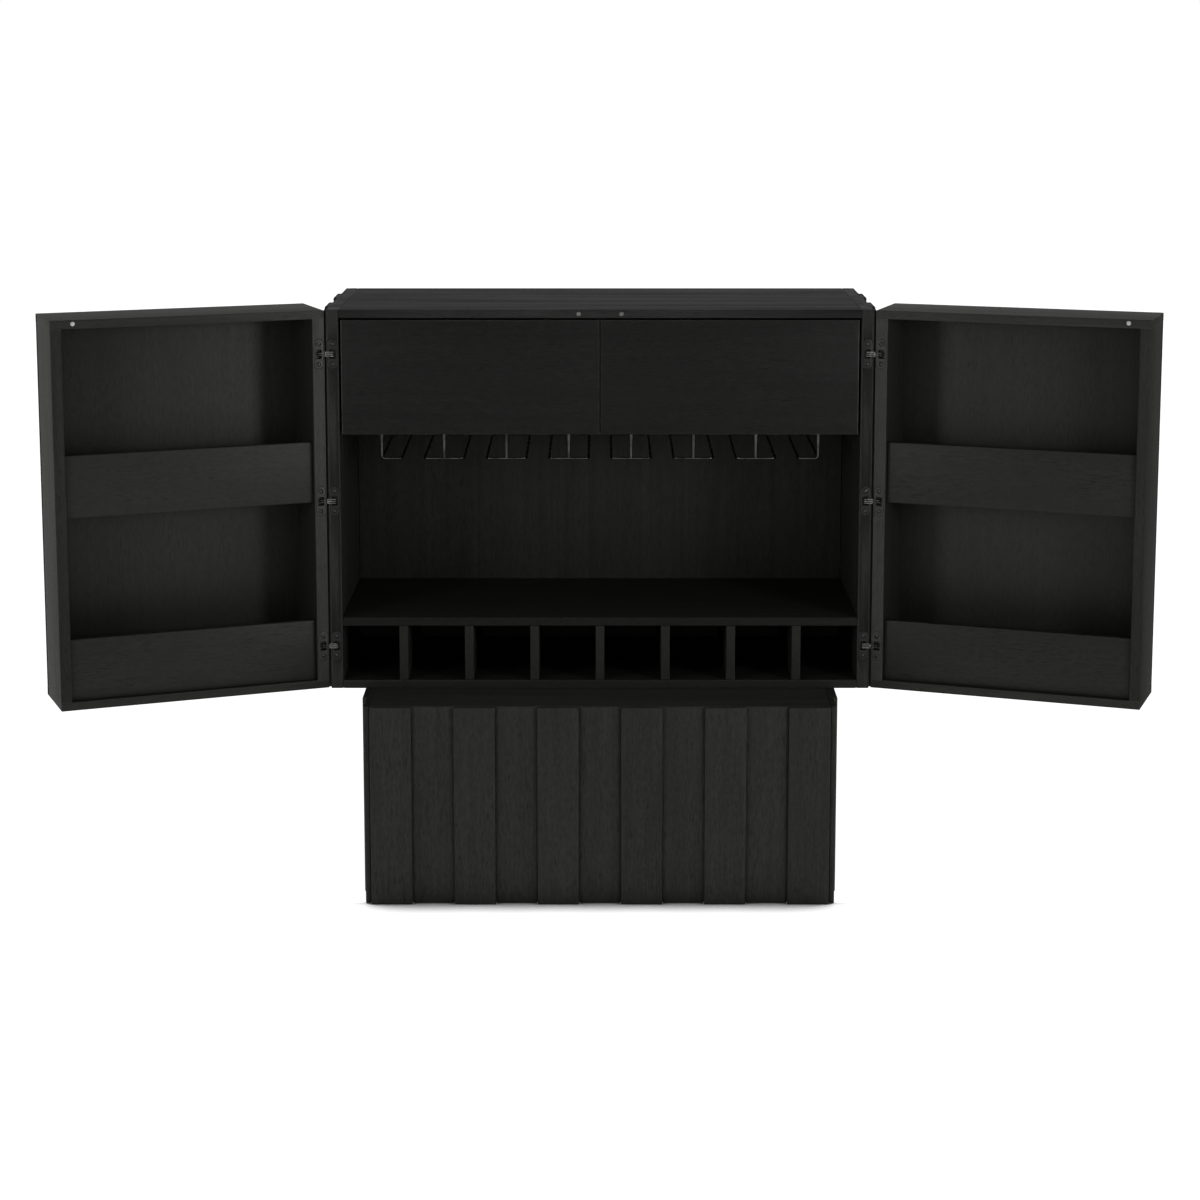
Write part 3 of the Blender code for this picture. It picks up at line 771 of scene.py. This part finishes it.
def makePlate(look):
    # the plate's face is at y = 0 and it goes into the wood along +y
    bm = bmesh.new()
    stadium(bm, look["cupWidth"], look["cupHeight"], (0, 0, 0), look["cupDepth"])
    rim = [line for line in bm.edges if all(abs(vert.co.y) < touching for vert in line.verts)]
    bevelEdges(bm, rim, look["plateArris"], 2)
    plate = meshObject(bm, "hingePlate")
    bm = bmesh.new()
    deep, over = look["pocketDepth"], look["overrun"]
    bmesh.ops.create_cube(bm, size=1, matrix=Matrix.Translation((0, (deep - over) / 2, 0))
                          @ Matrix.Diagonal((look["pocketWidth"], deep + over, look["pocketHeight"], 1)))
    corners = [line for line in bm.edges
               if abs((line.verts[0].co - line.verts[1].co).normalized().y) > 0.9]
    bevelEdges(bm, corners, look["pocketArris"], 4)
    for way in (1, -1):
        bmesh.ops.create_cone(
            bm, cap_ends=True, segments=32, radius1=look["screwHole"],
            radius2=look["screwHole"] + look["screwHoleFlare"], depth=look["screwHoleDepth"],
            matrix=Matrix.Translation((0, 0, way * look["screwHeight"]))
            @ Matrix.Rotation(math.pi / 2, 4, "X"))
    carve(plate, meshObject(bm, "plateCutter"))
    return bareMesh(plate)


def makeScrews(look):
    # low domed heads that face -y, each with a crossed recess
    bm = bmesh.new()
    for way in (1, -1):
        head = bmesh.ops.create_uvsphere(bm, u_segments=24, v_segments=12, radius=look["screwHead"])["verts"]
        bmesh.ops.scale(bm, vec=(1, 1, look["screwRise"] / look["screwHead"]), verts=head)
        bmesh.ops.rotate(bm, verts=head, matrix=Matrix.Rotation(math.pi / 2, 3, "X"))
        bmesh.ops.translate(bm, verts=head, vec=(0, look["screwSeat"], way * look["screwHeight"]))
    screws = meshObject(bm, "hingeScrews")
    bm = bmesh.new()
    for way, turn in zip((1, -1), look["recessTurns"]):
        for slotTurn in (turn, turn + math.pi / 2):
            place = Matrix.Translation((0, look["recessSeat"], way * look["screwHeight"]))
            place = place @ Matrix.Rotation(slotTurn, 4, "Y") @ Matrix.Diagonal((*look["recessSize"], 1))
            bmesh.ops.create_cube(bm, size=1, matrix=place)
    carve(screws, meshObject(bm, "screwCutter"))
    return bareMesh(screws)


def makeArms(look, side, facing):
    # the arms stand in the plate's pocket, cross the gap and end in knuckles on the hinge axis
    bm = bmesh.new()
    centreX = -side * (look["pivotOffset"] + caseSideLook["thickness"] / 2)
    faceY = facing * look["gap"] / 2
    half = look["linkThickness"] / 2
    knuckleX = -centreX
    outward = math.copysign(1, knuckleX)
    nearX, farX = outward * look["linkWidth"] / 2, -outward * look["linkWidth"] / 2
    rootY = facing * (look["pocketDepth"] - look["linkRoot"])
    nearY, farY = -faceY + facing * half, -faceY - facing * half
    for number in range(0 if facing > 0 else 1, look["linkCount"], 2):
        z = (number - (look["linkCount"] - 1) / 2) * look["linkSpacing"] - look["linkHeight"] / 2
        outline = [(farX, rootY), (nearX, rootY), (nearX, nearY), (knuckleX, nearY)]
        for step in range(1, look["knuckleSteps"]):
            turn = math.pi * step / look["knuckleSteps"]
            outline.append((knuckleX + outward * half * math.sin(turn),
                            -faceY + facing * half * math.cos(turn)))
        outline += [(knuckleX, farY), (farX, farY)]
        face = bm.faces.new([bm.verts.new((x, y, z)) for x, y in outline])
        pushFaces(bm, [face], (0, 0, look["linkHeight"]))
    bmesh.ops.recalc_face_normals(bm, faces=bm.faces)
    rims = [line for line in bm.edges if len(line.link_faces) == 2 and line.calc_face_angle() > 1.2
            and abs(line.verts[0].co.z - line.verts[1].co.z) < 1e-7]
    bevelEdges(bm, rims, look["linkArris"], 1)
    # a slim pin through the knuckles
    bmesh.ops.create_cone(bm, cap_ends=True, segments=12, radius1=look["pinRadius"],
                          radius2=look["pinRadius"], depth=look["linkSpacing"] * (look["linkCount"] - 1),
                          matrix=Matrix.Translation((knuckleX, -faceY, 0)))
    return bm, centreX, faceY


plateShape = makePlate(hingeLook)
screwShape = makeScrews(hingeLook)


def buildHinges(look, side, name):
    for label, height in zip(("lower", "middle", "upper"), hingeHeights):
        for facing, half in ((1, "case"), (-1, "door")):
            if facing > 0:
                base = Matrix.Translation((side * hingeAxis[0], hingeAxis[1], 0))
                body = "cabinet"
            else:
                base = doorPlace(side)
                body = name + "_door"
            node = f"{name}_{label}_hinge_{half}_half"
            arms, centreX, faceY = makeArms(look, side, facing)
            place = base @ Matrix.Translation((centreX, faceY, height))
            title = name + label.capitalize() + "Hinge" + half.capitalize()
            turned = place if facing > 0 else place @ Matrix.Rotation(math.pi, 4, "Z")
            addPiece(plateShape.copy(), title + "Plate", [metal[half + "Plate"]], body, [node],
                     turned, 30)
            addPiece(screwShape.copy(), title + "Screws", [metal["screw"]], body, [node],
                     turned, 30)
            addPiece(arms, title + "Arms", [metal[half + "Arm"]], body, [node], place, 30)


buildHinges(hingeLook, -1, "left")
buildHinges(hingeLook, 1, "right")
plateShape.free()
screwShape.free()
print("hinges made")


# stemware rack: round wires welded to two screwed strips

rackLook = {
    "wire": 0.0023,
    "rails": 8,
    "railWidth": 0.0728,
    "bend": 0.0075,
    "bendSteps": 6,
    "stripTail": 0.02815,
    "stripWidth": 0.014,
    "stripThickness": 0.0025,
    "flare": 1.75,
    "rise": 0.0025,
    "hangerReach": 0.4,
    "hangerBend": 0.0060,
    "weldRadius": 0.002645,
    "weldLength": 1.3,
    "screws": 5,
    "screwPitch": 1.5,
    "screwRadius": 0.0032,
    "screwRise": 0.4,
}


def roundedPath(corners, bend, closed, steps):
    # rounds each inner corner of a path with a short arc
    points = []
    count = len(corners)
    for number, corner in enumerate(corners):
        corner = Vector(corner)
        if not closed and number in (0, count - 1):
            points.append(corner)
            continue
        before = (Vector(corners[number - 1]) - corner).normalized()
        after = (Vector(corners[(number + 1) % count]) - corner).normalized()
        middle = corner + (before + after) * bend
        for step in range(steps + 1):
            turn = math.pi / 2 * step / steps
            points.append(middle - after * bend * math.cos(turn) - before * bend * math.sin(turn))
    return points


def addWire(curve, points, closed, sizes=()):
    spline = curve.splines.new("POLY")
    spline.points.add(len(points) - 1)
    for knot, point in zip(spline.points, points):
        knot.co = (*point, 1)
    for knot, size in zip(spline.points, sizes):
        knot.radius = size
    spline.use_cyclic_u = closed


def buildRack(look):
    low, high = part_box("stemware_rack")
    wireZ = low.z + look["wire"]
    topZ = high.z - look["stripThickness"]
    frontY, backY = low.y + look["stripWidth"] / 2, high.y - look["stripWidth"] / 2
    pitch = (high.x - low.x - 2 * look["stripTail"]) / (look["rails"] - 1)
    steps = look["bendSteps"]
    curve = bpy.data.curves.new("rackWires", "CURVE")
    curve.dimensions = "3D"
    curve.bevel_depth = look["wire"]
    curve.bevel_resolution = 4
    curve.use_fill_caps = True
    for number in range(look["rails"]):
        middle = (number - (look["rails"] - 1) / 2) * pitch
        lowX, highX = middle - look["railWidth"] / 2, middle + look["railWidth"] / 2
        if number == 0:
            lowX = middle
        if number == look["rails"] - 1:
            highX = middle
        rearZ = wireZ + look["rise"]
        loop = [(lowX, frontY, wireZ), (highX, frontY, wireZ), (highX, backY, rearZ), (lowX, backY, rearZ)]
        addWire(curve, roundedPath(loop, look["bend"], True, steps), True)
        outer = number in (0, look["rails"] - 1)
        edgeX, otherX = (lowX, highX) if number == 0 else (highX, lowX)
        for y, z in ((frontY, wireZ), (backY, rearZ)):
            if outer:
                endX = edgeX + (otherX - edgeX) * look["hangerReach"]
                hanger = [(edgeX, y, topZ), (edgeX, y, z), (endX, y, z)]
                addWire(curve, roundedPath(hanger, look["hangerBend"], False, steps), False,
                        (look["flare"],))
            else:
                addWire(curve, [Vector((middle, y, topZ)), Vector((middle, y, z))], False,
                        (look["flare"], 1.0))
    holder = bpy.data.objects.new("rackWires", curve)
    scene.collection.objects.link(holder)
    graph = bpy.context.evaluated_depsgraph_get()
    mesh = bpy.data.meshes.new_from_object(holder.evaluated_get(graph))
    bpy.data.objects.remove(holder)
    bm = bmesh.new()
    bm.from_mesh(mesh)
    bmesh.ops.remove_doubles(bm, verts=bm.verts, dist=0.00001)
    # a small bead of weld where each middle hanger meets its rail
    for number in range(1, look["rails"] - 1):
        middle = (number - (look["rails"] - 1) / 2) * pitch
        for y, z in ((frontY, wireZ), (backY, wireZ + look["rise"])):
            bead = bmesh.ops.create_icosphere(bm, subdivisions=2, radius=look["weldRadius"])["verts"]
            bmesh.ops.scale(bm, vec=(look["weldLength"], 1, 1), verts=bead)
            bmesh.ops.translate(bm, verts=bead, vec=(middle, y, z))
    addPiece(bm, "rackWires", [metal["bronze"]], "cabinet", ["stemware_rack"], None, 50)
    bm = newBoards()
    for y in (frontY, backY):
        addBoard(bm, (low.x, y - look["stripWidth"] / 2, topZ), (high.x, y + look["stripWidth"] / 2, high.z),
                 edge=0.0005)
    addPiece(bm, "rackStrips", [metal["bronze"]], "cabinet", ["stemware_rack"], None, 30)
    bm = bmesh.new()
    for number in range(look["screws"]):
        # a quarter of a rail's pitch aside, clear of the hangers
        x = (number - look["screws"] // 2) * pitch * look["screwPitch"] + pitch / 4
        for y in (frontY, backY):
            head = bmesh.ops.create_uvsphere(bm, u_segments=16, v_segments=8, radius=look["screwRadius"])
            bmesh.ops.scale(bm, vec=(1, 1, look["screwRise"]), verts=head["verts"])
            bmesh.ops.translate(bm, verts=head["verts"], vec=(x, y, topZ))
    addPiece(bm, "rackScrews", [metal["screw"]], "cabinet", (), None, 40)


buildRack(rackLook)
print("stemware rack made")


# magnets: small bright discs in the case's top edge and in the doors' top rails

magnetLook = {
    "radius": 0.0041,
    "depth": 0.004,
    "arris": 0.0009,
    "rise": 0.0007,
    "caseX": 0.039,
    "doorU": 0.458,
    "z": 1.0700,
}


def magnetMesh(look, place):
    bm = bmesh.new()
    half = look["depth"] / 2
    bmesh.ops.create_cone(bm, cap_ends=True, segments=32, radius1=look["radius"], radius2=look["radius"],
                          depth=look["depth"], matrix=Matrix.Rotation(math.pi / 2, 4, "X"))
    rim = [line for line in bm.edges if all(abs(vert.co.y + half) < touching for vert in line.verts)]
    bevelEdges(bm, rim, look["arris"], 3)
    bmesh.ops.translate(bm, verts=bm.verts, vec=(0, half - look["rise"], 0))
    bmesh.ops.transform(bm, matrix=place, verts=bm.verts)
    return bm


def buildMagnets(look):
    for side, name in ((-1, "left"), (1, "right")):
        place = Matrix.Translation((side * look["caseX"], caseFrontY, look["z"]))
        addPiece(magnetMesh(look, place), name + "CaseMagnet", [metal["magnet"]], "cabinet", ())
        inDoor = Matrix.Translation(doorPoint(side, look["doorU"], doorLook["rimY"], look["z"]))
        place = doorPlace(side) @ inDoor @ Matrix.Rotation(math.pi, 4, "Z")
        addPiece(magnetMesh(look, place), name + "DoorMagnet", [metal["doorMagnet"]], name + "_door", ())


buildMagnets(magnetLook)
print("magnets made")


# drawer fronts with eased arrises, and boxes of three boards round the bottom panel

drawerLook = {"wall": 0.012, "edge": 0.0012, "arris": 0.0009, "shifts": (0.4, 3.3)}


def buildDrawer(look, name):
    title = name.split("_")[0] + "Drawer"
    outward = -1 if name.startswith("left") else 1
    bm = newBoards()
    addBoard(bm, *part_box(name + "_front"), look["arris"], shift=look["shifts"][outward > 0])
    # the outer upright arrises get a pale finish, a painted highlight, and the faces towards the other front
    # are painted dark, painted shade in the gap between the fronts
    bm.normal_update()
    for face in bm.faces:
        turned = face.normal.x * outward
        if 0.1 < turned < 0.95:
            face.material_index = 1
        elif turned < -0.5:
            face.material_index = 2
    addPiece(bm, title + "Front", [wood("drawer", "x"), wood("arris", "z"), wood("paintedShade", "z")], name,
             [name + "_front"])
    low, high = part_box(name + "_box")
    wall = look["wall"]
    bm = newBoards()
    # the sides end inside the back board
    for startX, endX in ((low.x, low.x + wall), (high.x - wall, high.x)):
        addBoard(bm, (startX, low.y, low.z), (endX, high.y - wall * 0.5, high.z), look["edge"], slot=1)
    addBoard(bm, (low.x, high.y - wall, low.z), (high.x, high.y, high.z), look["edge"])
    addPiece(bm, title + "Box", [paleWoodX, paleWoodY], name, [name + "_box"])


buildDrawer(drawerLook, "left_drawer")
buildDrawer(drawerLook, "right_drawer")
print("drawers made")


# the solids that stay get their finishes

keptFinishes = {
    "case_top": ("top", "x"), "case_bottom": ("rim", "x"), "case_back": ("inside", "z"),
    "bar_shelf": ("shelf", "x"), "drawer_floor": ("inside", "x"), "drawer_partition": ("inside", "y"),
    "plinth_top": ("ledge", "x"), "plinth_base": ("inside", "x"), "plinth_back": ("stave", "x"),
}
for number in range(1, 8):
    keptFinishes[f"bottle_divider_{number}"] = ("divider", "y")


def dress(node, material):
    for slot in nodes[node].material_slots:
        slot.material = material


for node, (finish, grain) in keptFinishes.items():
    dress(node, wood(finish, grain))
for side in ("left", "right"):
    dress(side + "_drawer_bottom", paleWoodX)
    for rail in ("case_rail", "middle_rail", "drawer_rail"):
        dress(f"{side}_drawer_{rail}", metal["zinc"])
print("solids dressed")


# floor, background and lamps

studioLook = {
    "floorColour": (0.82, 0.82, 0.82, 1),
    "floorGlow": 0.90,
    "contactReach": 0.11,
    "contactRange": (0.52, 0.86),
    "contactBack": (0.016, 0.008),
    "paintedShadowStart": 0.69,
    "paintedShadowCurve": 1.5,
    "paintedShadowDepth": 0.80,
    "worldLight": 0.28,
    "roomGlow": 0.30,
    "leftPower": 3.1,
    "rightPower": 4.8,
    "lampPlace": (1.72, -1.90, 1.20),
    "lampSize": (0.50, 0.70),
    "lampSpread": 75,
    "aim": (0.35, 0.0, 0.85),
    "topPower": 3.0,
    "topLamp": ((0, -0.6, 3.2), 0),
    "frontPower": 12,
    "frontLamp": ((0, -5.4, 1.3), 84),
    "softSize": 2.0,
    "wallRange": (-0.45, 0.0),
}


def seenDirectly(tree):
    path = addNode(tree, "ShaderNodeLightPath")
    seen = calc(tree, "MAXIMUM", path.outputs["Is Camera Ray"], path.outputs["Is Glossy Ray"])
    return calc(tree, "MAXIMUM", seen, path.outputs["Is Transmission Ray"])


def buildFloor(look):
    bm = bmesh.new()
    bmesh.ops.create_grid(bm, x_segments=1, y_segments=1, size=30)
    mesh = bpy.data.meshes.new("floor")
    bm.to_mesh(mesh)
    bm.free()
    floor = bpy.data.objects.new("floor", mesh)
    scene.collection.objects.link(floor)
    material, tree, shader = newMaterial("floorPaintAndShadow")
    shader.inputs["Roughness"].default_value = 0.9
    shader.inputs["Specular IOR Level"].default_value = 0.0
    shader.inputs["Emission Color"].default_value = (1, 1, 1, 1)
    # the glow fades close to the plinth, which paints a soft contact shadow there
    near = addNode(tree, "ShaderNodeAmbientOcclusion", samples=12)
    near.inputs["Distance"].default_value = look["contactReach"]
    near = spread(tree, near.outputs["AO"], *look["contactRange"], 1.0, 0.0)
    # only along the front, where the photograph keeps it, from behind the level staves' faces
    place = addNode(tree, "ShaderNodeSeparateXYZ")
    tree.links.new(objectPoints(tree), place.inputs[0])
    front = spread(tree, place.outputs["Y"],
                   *(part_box("plinth_front")[0].y + inward for inward in look["contactBack"]))
    dark = calc(tree, "MULTIPLY", near, front)
    glow = calc(tree, "MULTIPLY", calc(tree, "SUBTRACT", 1.0, dark), look["floorGlow"])
    # the floor's colour is painted darker where it is closest, a painted contact shadow
    deep = calc(tree, "POWER", spread(tree, dark, look["paintedShadowStart"], 1.0), look["paintedShadowCurve"])
    deep = calc(tree, "MULTIPLY", deep, look["paintedShadowDepth"])
    shadowPaintedColour = blendColours(tree, deep, look["floorColour"], (0, 0, 0, 1))
    tree.links.new(shadowPaintedColour, shader.inputs["Base Color"])
    tree.links.new(calc(tree, "MULTIPLY", seenDirectly(tree), glow), shader.inputs["Emission Strength"])
    mesh.materials.append(material)


def buildWorld(look):
    world = bpy.data.worlds.new("studio")
    world.use_nodes = True
    tree = world.node_tree
    light = tree.nodes["Background"]
    light.inputs["Color"].default_value = (1, 1, 1, 1)
    light.inputs["Strength"].default_value = look["worldLight"]
    seen = addNode(tree, "ShaderNodeBackground")
    seen.inputs["Color"].default_value = (1, 1, 1, 1)
    # white behind the cabinet; reflections towards the room in front meet a dimmer wall
    way = addNode(tree, "ShaderNodeSeparateXYZ")
    tree.links.new(addNode(tree, "ShaderNodeTexCoord").outputs["Generated"], way.inputs[0])
    wall = spread(tree, way.outputs["Y"], *look["wallRange"], look["roomGlow"], 1.0)
    camera = addNode(tree, "ShaderNodeLightPath").outputs["Is Camera Ray"]
    tree.links.new(calc(tree, "MAXIMUM", wall, camera), seen.inputs["Strength"])
    mix = addNode(tree, "ShaderNodeMixShader")
    tree.links.new(seenDirectly(tree), mix.inputs[0])
    tree.links.new(light.outputs[0], mix.inputs[1])
    tree.links.new(seen.outputs[0], mix.inputs[2])
    tree.links.new(mix.outputs[0], tree.nodes["World Output"].inputs["Surface"])
    scene.world = world


def addLamp(name, power, place):
    light = bpy.data.lights.new(name, "AREA")
    light.energy = power
    lamp = bpy.data.objects.new(name, light)
    lamp.location = place
    scene.collection.objects.link(lamp)
    return lamp, light


def buildLamps(look):
    x, y, z = look["lampPlace"]
    for side, name in ((-1, "left"), (1, "right")):
        lamp, light = addLamp(name + "Lamp", look[name + "Power"], (side * x, y, z))
        light.shape = "RECTANGLE"
        light.size, light.size_y = look["lampSize"]
        light.spread = math.radians(look["lampSpread"])
        aim = Vector((-side * look["aim"][0], look["aim"][1], look["aim"][2]))
        lamp.rotation_euler = (aim - lamp.location).to_track_quat("-Z", "Y").to_euler()
    # a soft lamp above, and a weak one beside the camera that reaches into the cubbies
    for name in ("top", "front"):
        place, turn = look[name + "Lamp"]
        lamp, light = addLamp(name + "Lamp", look[name + "Power"], place)
        light.size = look["softSize"]
        lamp.rotation_euler = (math.radians(turn), 0, 0)


buildFloor(studioLook)
buildWorld(studioLook)
buildLamps(studioLook)
print("studio made")
